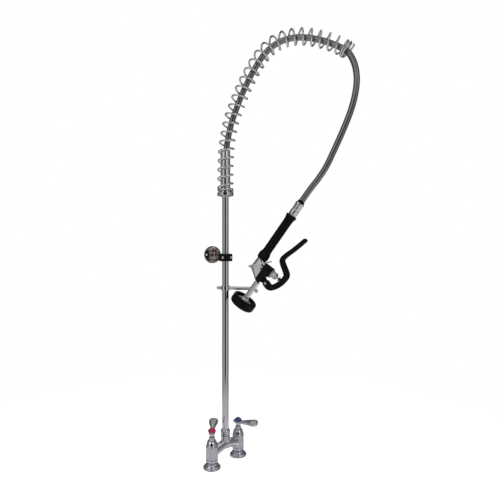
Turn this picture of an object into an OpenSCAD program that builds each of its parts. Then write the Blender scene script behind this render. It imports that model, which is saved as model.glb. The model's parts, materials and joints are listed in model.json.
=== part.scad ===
// Deck-mount pre-rinse faucet with an overhead spring, a spray hose and a squeeze spray valve.
// Origin: on the deck, midway between the two supply shanks. +Z up, +X from hot to cold, -Y to the user.

/* [Base] */
// Distance between the hot and cold shanks
centres = 101.6; // [98:0.1:106]
// Diameter of the bell flanges on the deck
flange_d = 44.5; // [42:0.5:48]
// Height of the bell flanges
flange_h = 14; // [13:0.5:15]
// Diameter of the valve columns
column_d = 31; // [30:0.5:33]
// Height of the shoulder on top of the valve columns
column_top = 57; // [55:0.5:59]
// Diameter of the outlet tower in the middle of the bridge
tower_d = 23; // [22.5:0.5:25]
// Diameter of the shanks where they pass the deck
shank_d = 21.2; // [21:0.1:21.4]
// Depth that the shanks reach below the deck
shank_drop = 60; // [55:1:70]

/* [Handles] */
// Reach of a lever from its axis to its tip
lever_reach = 66; // [60:1:72]
// Width of the paddle at a lever's tip
paddle_w = 25; // [22:0.5:26]
// Direction in which the hot lever points at rest, from +X towards +Y
hot_lever_angle = 40; // [30:1:60]
// Direction in which the cold lever points at rest, from +X towards +Y
cold_lever_angle = -90; // [-110:1:-60]

/* [Riser] */
// Outer diameter of the riser pipe
riser_d = 17.1; // [16.9:0.1:17.1]
// Height of the riser pipe's top
riser_top = 708; // [690:1:720]
// Height of the wall bracket
bracket_z = 540; // [520:1:560]
// Distance from the riser to the wall plate's face
bracket_reach = 128; // [110:1:160]
// Direction of the wall bracket, from +X towards +Y
bracket_angle = 60; // [40:1:90]
// Height of the parking hook's arm
hook_z = 459; // [458:0.5:460]

/* [Overhead spring and hose] */
// Direction of the plane that the spring arches in, from +X towards +Y
arch_angle = -70; // [-100:1:-50]
// Outer diameter of the overhead spring
spring_d = 43.4; // [41:0.2:44]
// Diameter of the spring's wire
spring_wire = 5; // [4:0.1:5]
// Number of open coils
open_coils = 25; // [22:1:27]
// Outer diameter of the braided hose
hose_d = 15.6; // [15:0.1:16]

/* [Spray valve] */
// Tilt of the grip from the vertical
grip_tilt = 36; // [35:0.5:37]
// Diameter of the rubber grip
grip_d = 23; // [22:0.5:25]
// Length of the rubber grip
grip_length = 122; // [120:1:124]
// Distance from the grip's axis to the spray barrel's axis
barrel_offset = 25.5; // [25:0.5:26]
// Diameter of the spray barrel
barrel_d = 14; // [13:0.2:14.4]
// Diameter of the rubber bumper on the spray head
bumper_d = 67; // [64:0.5:67]

/* [Hidden] */

$fn = 64;
eps = 0.05;                       // gap between pieces that fit one another
riser_r = riser_d / 2;
shank_r = shank_d / 2;
thread_r = 10.3;
tail_r = 9.8;
column_r = column_d / 2;
cartridge_z = 38;                 // bottom of the valve cartridges
gasket_t = 1.5;
ring_low = 17;                    // lower and upper edge of the ring on each column
ring_high = 22.5;
passage_z = 45;                   // height of the water passage through the bridge
lock_z = 62;                      // height of the screw that locks the riser
web_t = 1.6;                      // thickness of the web that steadies the flow in a shank
clamp_y = 11.6;                   // distance of the clamp's screws from the riser's axis
rod_lift = 5;                     // height of the bracket's rod above the clamp's middle
nut_z = -34;                      // top of the lock washer below the deck
stem_r = 4;
tower_top = 70;
collar_top = 86;
hub_z = 82;                       // underside of a lever's hub
hub_top = 92;
index_r = 11;                     // largest radius of an index cap
sleeve_top = 823;
seat_z = 703;                     // underside of the spring seat

// Centreline of the hose, out from the riser and up from the deck, from its inlet to the ferrule
hose_route = [
    [0, 732], [0, 762], [1, 795], [3, 828], [9, 862], [18, 896], [31, 930], [46, 965], [63, 998],
    [83, 1031], [105, 1060], [129, 1080], [155, 1091], [184, 1095], [213, 1092], [242, 1084],
    [272, 1072], [300, 1057], [321, 1042], [334, 1020], [341, 996], [343, 968], [339, 936],
    [330, 902], [317, 868], [302, 834], [286, 800], [269, 766], [250, 738], [229, 712], [208, 684]
];
spring_end = 18;                  // route point at which the spring ends
spring_start_z = 715;

// Grip frame: its origin lies on the grip's axis at the lower end of the rubber
grip_at = [108.5, 546.8];
ferrule_z = grip_length + 3;
ferrule_h = 38;
seal_h = 5.5;
body_low = -64;                   // lower end of the valve body
barrel_low = -118;
head_low = -144;
plunger_z = -26;                  // height of the plunger's axis in the grip frame
seat_x = 43;
bonnet_x = 60;
plunger_tip = 68.5;
pivot = [46.7, -55];              // axis of the trigger in the grip frame
pin_r = 2.5;
lever_w = 17;
lug_w = 8;
pivot_end_r = 8;                  // half the thickness of the trigger at its pivot
tip_r = 5;                        // and at its tip
ring_pivot = [-14.5, -46];
wire_r = 1.4;

// Centreline of the trigger from its pivot to its tip, in the grip frame
trigger_path = [
    [46.7, -55], [58, -58], [68, -52], [77.5, -31.5], [79.5, -9], [71, 0.5], [56, 10], [46.5, 19],
    [47.5, 33], [56.5, 60.5], [65, 93]
];

chrome = "silver";
rubber = [0.07, 0.07, 0.075];
brass = [0.78, 0.64, 0.36];

function pick(p, i) = p[max(0, min(len(p) - 1, i))];
function unit(v) = v / norm(v);
function catmull(a, b, c, d, t) =
    0.5 * (2 * b + (c - a) * t + (2 * a - 5 * b + 4 * c - d) * t * t + (3 * b - a - 3 * c + d) * t * t * t);
function curve(p, steps) = [
    for (i = [0:len(p) - 2], k = [0:steps - 1])
        catmull(pick(p, i - 1), p[i], p[i + 1], pick(p, i + 2), k / steps),
    p[len(p) - 1]
];
function lengths(p) = [
    for (i = 0, s = 0; i < len(p); s = s + norm(pick(p, i + 1) - p[i]), i = i + 1) s
];
function side(p, i) = let (t = unit(pick(p, i + 1) - pick(p, i - 1))) [-t[1], t[0]];

module hot() {
    translate([-centres / 2, 0, 0]) children();
}

module cold() {
    translate([centres / 2, 0, 0]) children();
}

// The arch frame: X runs out from the riser, Y runs across the arch
module arch() {
    rotate([0, 0, arch_angle]) children();
}

// The grip frame: Z runs up the grip towards the hose, X points at the trigger
module grip_frame() {
    arch() translate([grip_at[0], 0, grip_at[1]]) rotate([0, grip_tilt, 0]) children();
}

module along_x(x) {
    translate([x, 0, 0]) rotate([0, 90, 0]) children();
}

// A place whose Z axis runs across the arch, for pins and round ends
module across(x, y, z) {
    translate([x, y, z]) rotate([90, 0, 0]) children();
}

module ring(r_out, r_in, z, h) {
    translate([0, 0, z]) difference() {
        cylinder(r = r_out, h = h);
        translate([0, 0, -1]) cylinder(r = r_in, h = h + 2);
    }
}

// A round tube of radius r along a path; normals holds a sideways direction for each of its points
module sweep(path, normals, r, sides) {
    n = len(path);
    points = [
        for (i = [0:n - 1], k = [0:sides - 1])
            let (t = unit(pick(path, i + 1) - pick(path, i - 1)), a = 360 * k / sides)
                path[i] + r * (cos(a) * normals[i] + sin(a) * cross(t, normals[i]))
    ];
    walls = [
        for (i = [0:n - 2], k = [0:sides - 1])
            let (a = i * sides + k, b = i * sides + (k + 1) % sides)
                each [[a, a + sides, b + sides], [a, b + sides, b]]
    ];
    first = [for (k = [0:sides - 1]) k];
    last = [for (k = [sides - 1:-1:0]) (n - 1) * sides + k];
    polyhedron(points, concat([first], walls, [last]));
}

// Two columns, the sloping arms of the bridge and the outlet tower, cast as one
module base_body() {
    arm_r = 11.8;
    tower_low = 38;
    seat_low = 54;
    low = [centres / 2, 0, tower_low];
    high = [0, 0, 48.5];
    slope = atan2(high[2] - low[2], low[0]);
    color(chrome) difference() {
        union() {
            for (x = [-1, 1] * centres / 2) translate([x, 0, 0]) column();
            for (a = [0, 180]) rotate([0, 0, a]) translate(high) rotate([0, 90 + slope, 0])
                cylinder(r = arm_r, h = norm(high - low));
            translate([0, 0, tower_low]) cylinder(r = tower_d / 2, h = tower_top - tower_low);
        }
        for (x = [-1, 1] * centres / 2) translate([x, 0, 0]) column_bores();
        translate([0, 0, seat_low]) cylinder(r = riser_r + eps, h = 30);
        translate([0, 0, passage_z - 1]) cylinder(r = 6, h = 12);
        translate([-centres / 2, 0, passage_z]) rotate([0, 90, 0]) cylinder(r = 5, h = centres);
        translate([0, 0, lock_z]) rotate([90, 0, arch_angle + 90]) cylinder(r = 2.6, h = 20);
    }
}

// A column: a body, a groove and a ring, narrowing to the flange
module column() {
    neck_r = 12.5;
    groove_r = column_r - 2;
    rotate_extrude() polygon([
        [0, flange_h], [neck_r, flange_h], [neck_r, flange_h + 1], [column_r - 1, ring_low],
        [column_r - 0.4, ring_low + 1], [column_r - 0.4, ring_high], [groove_r, ring_high + 0.6],
        [groove_r, ring_high + 1.8], [column_r, ring_high + 2.6], [column_r, column_top - 1],
        [column_r - 1, column_top], [0, column_top]
    ]);
}

module column_bores() {
    translate([0, 0, flange_h - 1]) cylinder(r = thread_r + eps, h = 9);
    translate([0, 0, flange_h + 7]) cylinder(r = 7, h = cartridge_z - flange_h - 6);
    translate([0, 0, cartridge_z]) cylinder(r = 10 + eps, h = 30);
}

// Bell-shaped deck flange
module flange() {
    rim_r = flange_d / 2;
    top_r = 14;
    color(chrome) difference() {
        rotate_extrude() polygon(concat(
            [[thread_r + eps, gasket_t], [rim_r - 0.6, gasket_t], [rim_r, 2.2], [rim_r, 4.5]],
            [for (a = [15:15:90]) [top_r + (rim_r - top_r) * cos(a), 4.5 + (flange_h - 5) * sin(a)]],
            [[top_r - 1.5, flange_h], [thread_r + eps, flange_h]]
        ));
        translate([0, 0, gasket_t - 1]) cylinder(r = rim_r - 4, h = 3.5);
    }
}

module gasket() {
    color(rubber) ring(flange_d / 2 - 0.5, shank_r + 0.4, 0, gasket_t);
}

// Hollow shank: a plain neck in the deck, a thread below it, a tail for the supply line and a web inside
module shank() {
    color(brass) difference() {
        union() {
            cylinder(r = thread_r, h = flange_h + 7.9);
            translate([0, 0, nut_z + 4]) cylinder(r = shank_r, h = -nut_z - 4);
            translate([0, 0, nut_z - 10]) cylinder(r = thread_r, h = 15);
            translate([0, 0, -shank_drop]) cylinder(r = tail_r, h = shank_drop + nut_z - 9);
        }
        for (y = [-1, 1]) intersection() {
            translate([0, 0, -shank_drop - 1]) cylinder(r = 6.3, h = shank_drop + flange_h + 12);
            translate([-10, y > 0 ? web_t / 2 : -10 - web_t / 2, -shank_drop - 2])
                cube([20, 10, shank_drop + 40]);
        }
    }
}

module washer() {
    color("lightgray") ring(19, thread_r + eps, nut_z, 2);
}

// Lock nut that pulls the flange down on the deck
module lock_nut() {
    color(brass) difference() {
        translate([0, 0, nut_z - 8]) cylinder(r = 17, h = 8, $fn = 6);
        translate([0, 0, nut_z - 9]) cylinder(r = thread_r + eps, h = 10);
    }
}

module cartridge() {
    color(brass) difference() {
        union() {
            translate([0, 0, cartridge_z + 0.2]) cylinder(r = 10, h = column_top - cartridge_z - 0.2);
            translate([0, 0, column_top]) cylinder(r = 7.5, h = 8);
        }
        translate([0, 0, 46]) cylinder(r = stem_r + eps, h = 40);
        translate([0, 0, cartridge_z - 1]) cylinder(r = 4, h = 10);
    }
}

// Domed bonnet with a small collar round the stem
module bonnet() {
    dome_r = 14;
    color(chrome) difference() {
        rotate_extrude() polygon(concat(
            [[0, column_top], [dome_r + 0.8, column_top], [dome_r + 0.8, column_top + 2.5]],
            [for (a = [0:10:60]) [5 + (dome_r - 5) * cos(a), column_top + 3 + 18 * sin(a)]],
            [[7.5, 76], [8, 77], [8, 79.5], [7, 80.5], [0, 80.5]]
        ));
        translate([0, 0, column_top - 1]) cylinder(r = 7.5 + eps, h = 9.5);
        translate([0, 0, column_top]) cylinder(r = stem_r + eps, h = 40);
    }
}

module stem() {
    color(brass) difference() {
        translate([0, 0, 48]) cylinder(r = stem_r, h = 42);
        translate([0, 0, 80]) cylinder(r = 1.5, h = 20);
    }
}

// Lever with a tapered hub, a thick paddle and a short stub behind the axis
module lever() {
    neck_x = 28;
    color(chrome) difference() {
        union() {
            translate([0, 0, hub_z]) cylinder(r1 = 5.6, r2 = 9, h = hub_top - hub_z);
            hull() {
                translate([6, 0, 87]) cylinder(r = 4.5, h = 7.5, $fn = 32);
                translate([neck_x, 0, 90.5]) cylinder(r = 6.5, h = 9, $fn = 32);
            }
            hull() {
                translate([neck_x, 0, 90.5]) cylinder(r = 6.5, h = 9, $fn = 32);
                translate([lever_reach - paddle_w / 2, 0, 92]) cylinder(d = paddle_w, h = 15, $fn = 40);
            }
            hull() {
                translate([-5, 0, 87]) cylinder(r = 4.5, h = 6, $fn = 32);
                translate([-12, 0, 90]) sphere(r = 5, $fn = 24);
            }
        }
        translate([0, 0, hub_z - 1]) cylinder(r = stem_r, h = 9);
        translate([0, 0, 90]) cylinder(r = 6.5, h = 20);
        translate([0, 0, hub_top]) cylinder(r = index_r + 0.3, h = 20);
    }
}

module handle_screw() {
    color("lightgray") union() {
        translate([0, 0, 90]) cylinder(r = 3.4, h = 1.6);
        translate([0, 0, 82]) cylinder(r = 1.5, h = 9);
    }
}

// Faceted index cap
module index_cap(shade) {
    color(shade) difference() {
        union() {
            translate([0, 0, hub_top]) cylinder(r1 = 8.6, r2 = index_r, h = 4, $fn = 8);
            translate([0, 0, hub_top + 4]) cylinder(r1 = index_r, r2 = 4, h = 7, $fn = 8);
        }
        translate([0, 0, hub_top - 1]) cylinder(r = 4, h = 2.5);
    }
}

module riser_collar() {
    color(chrome) difference() {
        union() {
            translate([0, 0, tower_top + 2]) cylinder(r = 12.4, h = 11);
            translate([0, 0, tower_top + 13])
                cylinder(r1 = 12.4, r2 = 10.6, h = collar_top - tower_top - 13);
        }
        translate([0, 0, tower_top]) cylinder(r = riser_r + eps, h = 30);
    }
}

module riser_seal() {
    color(rubber) ring(tower_d / 2 - 0.8, riser_r + eps, tower_top, 2);
}

module riser_lock_screw() {
    color(chrome) translate([0, 0, lock_z]) rotate([90, 0, arch_angle + 90]) union() {
        translate([0, 0, riser_r + 0.1]) cylinder(r = 2.5, h = 7);
        translate([0, 0, tower_d / 2 + 0.1]) cylinder(r = 4.5, h = 5, $fn = 6);
    }
}

module riser_pipe() {
    color(chrome) difference() {
        translate([0, 0, 54.1]) cylinder(r = riser_r, h = riser_top - 54.1);
        translate([0, 0, 53]) cylinder(r = 6.25, h = riser_top);
    }
}

// Wall bracket frame: X points at the wall
module bracket_frame() {
    translate([0, 0, bracket_z]) rotate([0, 0, bracket_angle]) children();
}

module rod_frame() {
    bracket_frame() translate([0, 0, rod_lift]) children();
}

module clamp_half() {
    difference() {
        hull() for (y = [-1, 1], z = [-1, 1])
            along_x(0) translate([-z * 6.5, y * (clamp_y + 0.8), 0]) cylinder(r = 3.5, h = 12, $fn = 32);
        translate([0, 0, -15]) cylinder(r = riser_r + eps, h = 30);
        translate([-1, -20, -15]) cube([1.3, 40, 30]);
    }
}

module clamp_front() {
    color(rubber) bracket_frame() rotate([0, 0, 180]) difference() {
        clamp_half();
        for (y = [-1, 1]) translate([-1, y * clamp_y, 0]) rotate([0, 90, 0]) cylinder(r = 2.1, h = 20);
    }
}

module clamp_rear() {
    color(rubber) bracket_frame() difference() {
        clamp_half();
        for (y = [-1, 1]) translate([-1, y * clamp_y, 0]) rotate([0, 90, 0]) cylinder(r = 2.05, h = 20);
        translate([10, 0, rod_lift]) rotate([0, 90, 0]) cylinder(r = 4.8, h = 10);
    }
}

module clamp_screw(y) {
    color("lightgray") bracket_frame() translate([-12, y * clamp_y, 0]) rotate([0, 90, 0]) union() {
        translate([0, 0, -2.4]) cylinder(r = 3.6, h = 2.4);
        cylinder(r = 2, h = 22);
    }
}

module bracket_rod() {
    color(chrome) rod_frame() along_x(10.1) cylinder(r = 4.75, h = bracket_reach - 16);
}

module rod_nut() {
    color(chrome) rod_frame() along_x(12.1) difference() {
        cylinder(r = 8, h = 6, $fn = 6);
        translate([0, 0, -1]) cylinder(r = 4.8, h = 10);
    }
}

// Round wall plate: a dished disc with a central boss for the rod
module wall_plate() {
    color(chrome) rod_frame() along_x(bracket_reach) difference() {
        rotate_extrude() polygon(concat(
            [[0, 0], [25, 0], [25, -2]],
            [for (a = [15:15:90]) [24.6 - 14 * sin(a) * sin(a), -2 - 7 * sin(a)]],
            [[8.6, -9.5], [8.2, -17], [7.2, -18], [0, -18]]
        ));
        translate([0, 0, -20]) cylinder(r = 4.8, h = 14.2);
        for (y = [-1, 1]) translate([0, y * 18, -12]) cylinder(r = 2.3, h = 14);
    }
}

// Parking hook: a collar on the riser, an arm behind the barrel and a curl round its outer side
module hook() {
    curl_r = 12.2;
    rod_r = 3.9;
    curl_z = -90;
    elbow_x = grip_at[0] + barrel_offset * cos(grip_tilt) + curl_z * sin(grip_tilt);
    elbow_z = grip_at[1] - barrel_offset * sin(grip_tilt) + curl_z * cos(grip_tilt);
    swing = atan2(curl_r, elbow_x);
    turns = [for (a = [100:-10:-5]) a];
    color(chrome) union() {
        difference() {
            translate([0, 0, hook_z - 6.5]) cylinder(r = 11, h = 13);
            translate([0, 0, hook_z - 20]) cylinder(r = riser_r + eps, h = 40);
            arch() translate([0, 0, hook_z]) rotate([0, -90, 0]) cylinder(r = 2.1, h = 20);
        }
        arch() rotate([0, 0, swing]) translate([9.5, 0, elbow_z]) rotate([0, 90, 0])
            cylinder(r1 = 4.6, r2 = 4.2, h = norm([elbow_x, curl_r]) - 9.5);
        grip_frame() translate([barrel_offset, 0, curl_z]) sweep(
            [for (a = turns) curl_r * [cos(a), sin(a), 0]],
            [for (a = turns) [cos(a), sin(a), 0]],
            rod_r, 16
        );
    }
}

module hook_screw() {
    color(chrome) arch() translate([0, 0, hook_z]) rotate([0, -90, 0]) union() {
        translate([0, 0, riser_r + 0.1]) cylinder(r = 2.05, h = 6);
        translate([0, 0, 13]) cylinder(r = 4.3, h = 10.5);
    }
}

module spring_seat() {
    color(chrome) difference() {
        union() {
            translate([0, 0, seat_z]) cylinder(r = 21.5, h = 9);
            translate([0, 0, seat_z - 4]) cylinder(r = 10, h = 5);
        }
        translate([0, 0, seat_z - 10]) cylinder(r = riser_r + eps, h = 30);
        translate([0, 0, riser_top]) cylinder(r = 12, h = 10);
    }
}

// Chrome sleeve that swivels on the riser's top and guides the hose
module top_sleeve() {
    color(chrome) difference() {
        union() {
            translate([0, 0, seat_z + 9.1]) cylinder(r = 15.2, h = 5);
            translate([0, 0, seat_z + 9.1]) cylinder(r = 12.85, h = sleeve_top - seat_z - 9.1);
        }
        translate([0, 0, 700]) cylinder(r = 6.5, h = 20);
        translate([0, 0, 718]) cylinder(r = 10.9, h = 120);
    }
}

module hose_inlet() {
    color(brass) difference() {
        union() {
            translate([0, 0, 718.2]) cylinder(r = 10.4, h = 8, $fn = 6);
            translate([0, 0, 726]) cylinder(r = 8.2, h = 5.7);
        }
        translate([0, 0, 710]) cylinder(r = 4.5, h = 30);
    }
}

// Overhead spring: open coils with a few closed ones at either end, wound round the hose's route
module overhead_spring() {
    low_pitch = spring_wire + 0.3;
    high_pitch = spring_wire + 1.4;
    closed_low = 1.5;
    closed_high = 2;
    lift = 2.5;                   // how far the coils hang below the hose past the sleeve
    lift_start = 105;
    lift_run = 100;
    lean = 8;                     // how far the coils lean along the hose at the arch's rise
    lean_end = 2;                 // and at the spring's end
    per_turn = 16;
    coil_r = (spring_d - spring_wire) / 2;
    line = curve(concat([[0, spring_start_z]], [for (i = [0:spring_end + 1]) hose_route[i]]), 6);
    s = lengths(line);
    end_s = s[6 * (spring_end + 1)];
    xs = [for (i = [0:len(line) - 1]) [s[i], line[i][0]]];
    zs = [for (i = [0:len(line) - 1]) [s[i], line[i][1]]];
    pitch = (end_s - closed_low * low_pitch - closed_high * high_pitch) / open_coils;
    turns = closed_low + open_coils + closed_high;
    function at(t) = low_pitch * min(t, closed_low)
        + pitch * max(0, min(t - closed_low, open_coils))
        + high_pitch * max(0, t - closed_low - open_coils);
    function on_line(d) = [lookup(d, xs), 0, lookup(d, zs)];
    function outward(d) = let (t = unit(on_line(d + 2) - on_line(max(0, d - 2)))) [t[2], 0, -t[0]];
    function eased(r) = r * r * (3 - 2 * r);
    function share(d, start, run) = eased(max(0, min(1, (d - start) / run)));
    function centre(d) = on_line(d) - lift * share(d, lift_start, lift_run) * outward(d);
    function lean_at(d) = lean * share(d, 160, 240) - (lean - lean_end) * share(d, 400, 220);
    function leaning(d, a) = let (n = outward(d)) -lean_at(d) * sin(a) * [-n[2], 0, n[0]];
    function out(d, a) = cos(a) * outward(d) + sin(a) * [0, 1, 0];
    steps = [for (i = [0:turns * per_turn]) i / per_turn];
    outs = [for (t = steps) out(at(t), 360 * t)];
    wire = [
        for (i = [0:len(steps) - 1])
            let (d = at(steps[i])) centre(d) + coil_r * outs[i] + leaning(d, 360 * steps[i])
    ];
    color(chrome) arch() sweep(wire, outs, spring_wire / 2, 6);
}

module spray_hose() {
    path = [for (p = hose_route) [p[0], 0, p[1]]];
    normals = [for (i = [0:len(path) - 1]) let (n = side(hose_route, i)) [n[0], 0, n[1]]];
    color([0.55, 0.53, 0.5]) arch() sweep(path, normals, hose_d / 2, 12);
}

module hose_seal() {
    color(rubber) grip_frame() ring(9.4, 5, ferrule_z + ferrule_h, seal_h);
}

// Swivel ferrule between the hose and the grip
module hose_ferrule() {
    color(chrome) grip_frame() difference() {
        union() {
            translate([0, 0, ferrule_z + 0.2]) cylinder(r = 10.6, h = ferrule_h - 0.2);
            translate([0, 0, ferrule_z + ferrule_h - 7]) cylinder(r = 11.6, h = 6);
            translate([0, 0, ferrule_z + 3]) cylinder(r = 11.2, h = 12);
        }
        translate([0, 0, ferrule_z - 1]) cylinder(r = 6 + eps, h = 21);
        translate([0, 0, ferrule_z - 1]) cylinder(r = 4.6, h = ferrule_h + 2);
    }
}

// Metal core of the grip, with the spigot that turns in the ferrule
module grip_tube() {
    color(chrome) grip_frame() difference() {
        union() {
            translate([0, 0, -10]) cylinder(r = 8, h = ferrule_z + 9.5);
            translate([0, 0, ferrule_z - 1]) cylinder(r = 6, h = 19);
        }
        translate([0, 0, -11]) cylinder(r = 4.4, h = ferrule_z + 40);
    }
}

module grip_sleeve() {
    r = grip_d / 2;
    color(rubber) grip_frame() difference() {
        rotate_extrude() polygon([
            [7, -12], [13.2, -12], [14.6, -9], [14.8, 3], [13.4, 8], [r, 12], [r, grip_length - 10],
            [r + 1, grip_length - 5], [14.4, grip_length - 3], [14.4, grip_length + 1.5],
            [12.8, grip_length + 2.5], [7, grip_length + 2.5]
        ]);
        translate([0, 0, -13]) cylinder(r = 8 + eps, h = grip_length + 30);
    }
}

// Chrome valve body behind the yoke
module spray_body() {
    color(chrome) grip_frame() difference() {
        union() {
            hull() {
                translate([0, 0, -14]) cylinder(r = 11, h = 1.8, $fn = 40);
                translate([-2, 0, -40]) sphere(r = 10.5, $fn = 32);
                translate([12, 0, -30]) sphere(r = 12, $fn = 32);
                translate([12, 0, -24]) sphere(r = 12, $fn = 32);
            }
            hull() {
                translate([-1, 0, -40]) sphere(r = 10.5, $fn = 32);
                translate([14, 0, -34]) sphere(r = 12, $fn = 32);
                translate([barrel_offset, 0, body_low]) cylinder(r = 10, h = 3, $fn = 40);
            }
            translate([barrel_offset, 0, body_low - 2]) cylinder(r = 9, h = 10);
            for (y = [-3.5, 3.5]) hull() {
                across(ring_pivot[0], y, ring_pivot[1]) cylinder(r = 3.2, h = 2.6, center = true, $fn = 32);
                across(-6, y, -41) cylinder(r = 4, h = 2.6, center = true, $fn = 32);
            }
        }
        translate([18, -20, -70]) cube([40, 40, 65]);
        translate([0, 0, -16]) cylinder(r = 4.4, h = 8);
        translate([6, 0, plunger_z]) rotate([0, 90, 0]) cylinder(r = 5, h = 30);
        across(ring_pivot[0], 0, ring_pivot[1]) cylinder(r = wire_r + eps, h = 20, center = true);
    }
}

// Black yoke that carries the plunger's seat and the trigger's pivot lug
module trigger_yoke() {
    color(rubber) grip_frame() difference() {
        union() {
            translate([18.1, 0, 0]) intersection() {
                translate([0, 15, 0]) rotate([90, 0, 0]) linear_extrude(30)
                    polygon([
                        [0, -13], [seat_x - 18.1, -13], [seat_x - 18.1, -38], [17.5, -41], [17.5, -60],
                        [10, -63], [0, -63]
                    ]);
                translate([-10, 0, -38]) union() {
                    rotate([0, 90, 0]) translate([-12, 0, 0]) cylinder(r = 13.4, h = 50);
                    translate([0, -11, -30]) cube([50, 22, 40]);
                }
            }
            hull() {
                across(34, 0, -52) cylinder(r = 8, h = lug_w, center = true, $fn = 32);
                across(pivot[0], 0, pivot[1]) cylinder(r = 5.5, h = lug_w, center = true, $fn = 32);
            }
        }
        translate([10, 0, plunger_z]) rotate([0, 90, 0]) cylinder(r = 5, h = 40);
        translate([barrel_offset, 0, -80]) cylinder(r = 9 + eps, h = 24.1);
        across(pivot[0], 0, pivot[1]) cylinder(r = pin_r + eps, h = 40, center = true);
    }
}

module spray_barrel() {
    color(chrome) grip_frame() translate([barrel_offset, 0, 0]) difference() {
        union() {
            translate([0, 0, barrel_low]) cylinder(d = barrel_d, h = body_low - 2.1 - barrel_low);
            translate([0, 0, barrel_low]) cylinder(r = 8.2, h = 4);
        }
        translate([0, 0, barrel_low - 1]) cylinder(r = 5, h = 80);
    }
}

// Bell of the spray head
module head_shell() {
    color(chrome) grip_frame() translate([barrel_offset, 0, 0]) difference() {
        rotate_extrude() polygon([
            [0, barrel_low - 0.1], [9, barrel_low - 0.1], [9.6, barrel_low - 3], [13, barrel_low - 5.5],
            [22, barrel_low - 8], [26.4, barrel_low - 11], [27, barrel_low - 13], [27, head_low + 3],
            [0, head_low + 3]
        ]);
        translate([0, 0, head_low + 2]) cylinder(r = 24, h = 12);
        translate([0, 0, head_low]) cylinder(r = 5, h = 40);
    }
}

// Perforated spray face
module spray_face() {
    color(chrome) grip_frame() translate([barrel_offset, 0, head_low]) difference() {
        cylinder(r = 26.9, h = 2.9);
        translate([0, 0, -1]) cylinder(r = 2.05, h = 6);
        for (n = [8, 16, 24], k = [0:n - 1]) rotate([0, 0, 360 * k / n + n])
            translate([n * 0.86 + 1.5, 0, -1]) cylinder(r = 0.9, h = 6, $fn = 12);
    }
}

module bumper_ring() {
    r = bumper_d / 2;
    color(rubber) grip_frame() translate([barrel_offset, 0, 0]) rotate_extrude() polygon([
        [27.1, head_low - 1], [r - 4, head_low - 1], [r - 1, head_low + 1.5], [r, head_low + 5],
        [r, barrel_low - 9], [r - 1.5, barrel_low - 4.5], [r - 4.5, barrel_low - 2.5],
        [25.4, barrel_low - 3], [24.2, barrel_low - 4.5], [24.2, barrel_low - 9.3],
        [26.5, barrel_low - 10.9], [27.1, barrel_low - 12.9]
    ]);
}

module face_screw() {
    color("lightgray") grip_frame() translate([barrel_offset, 0, head_low]) union() {
        translate([0, 0, -1.8]) cylinder(r = 4, h = 1.8);
        cylinder(r = 2, h = 12);
    }
}

module valve_seat() {
    color("gray") grip_frame() translate([seat_x + 0.1, 0, plunger_z]) rotate([0, 90, 0]) difference() {
        cylinder(r = 12.6, h = 2.9, $fn = 6);
        translate([0, 0, -1]) cylinder(r = 5, h = 6);
    }
}

// Knurled bonnet that guides the plunger
module valve_bonnet() {
    color(chrome) grip_frame() translate([46.1, 0, plunger_z]) rotate([0, 90, 0]) difference() {
        union() {
            cylinder(r = 8.2, h = bonnet_x - 46.1);
            for (k = [0:17]) rotate([0, 0, 20 * k]) translate([8, -0.7, 2]) cube([1.1, 1.4, 10]);
        }
        translate([0, 0, -1]) cylinder(r = 5, h = 9);
        translate([0, 0, -1]) cylinder(r = 3 + eps, h = 40);
    }
}

module plunger() {
    color(chrome) grip_frame() translate([0, 0, plunger_z]) rotate([0, 90, 0]) union() {
        translate([0, 0, 22]) cylinder(r = 3, h = 45);
        translate([0, 0, bonnet_x + 6.3]) cylinder(r = 6.4, h = plunger_tip - bonnet_x - 6.3);
        translate([0, 0, 30]) cylinder(r = 4.5, h = 3);
    }
}

// Return spring round the plunger's stem, wound from the seat of the valve to the stem's shoulder
module plunger_spring() {
    steps = [for (i = [0:6 * 12]) i / 12];
    outs = [for (t = steps) [0, cos(360 * t), sin(360 * t)]];
    wire = [for (i = [0:len(steps) - 1]) [9.5 + steps[i] * 3.1, 0, plunger_z] + 3.9 * outs[i]];
    color("lightgray") grip_frame() sweep(wire, outs, 0.6, 6);
}

// Squeeze lever: a bent bar, forked at the pivot lug, with a pad that meets the plunger
module trigger_lever() {
    line = curve(trigger_path, 4);
    n = len(line) - 1;
    pad_x = 69.6;
    function half(i) = pivot_end_r - (pivot_end_r - tip_r) * i / n;
    outline = concat(
        [for (i = [0:n]) line[i] + half(i) * side(line, i)],
        [for (i = [n:-1:0]) line[i] - half(i) * side(line, i)]
    );
    color(rubber) grip_frame() difference() {
        union() {
            rotate([90, 0, 0]) linear_extrude(lever_w, center = true) polygon(outline);
            across(pivot[0], 0, pivot[1]) cylinder(r = pivot_end_r, h = lever_w, center = true);
            across(line[n][0], 0, line[n][1]) cylinder(r = tip_r + 0.1, h = lever_w, center = true);
            translate([pad_x, 0, plunger_z]) rotate([0, 90, 0]) cylinder(r = 4, h = 5);
        }
        translate([pivot[0] - 20, -lug_w / 2 - 0.3, pivot[1] - 16]) cube([28.5, lug_w + 0.6, 32]);
        across(pivot[0], 0, pivot[1]) cylinder(r = pin_r + eps, h = 40, center = true);
    }
}

module pivot_pin() {
    color("lightgray") grip_frame() across(pivot[0], 0, pivot[1]) union() {
        cylinder(r = pin_r, h = lever_w + 3, center = true);
        for (y = [-1, 1])
            translate([0, 0, y * (lever_w / 2 + 0.9)]) cylinder(r = 3.4, h = 1.4, center = true);
    }
}

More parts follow.
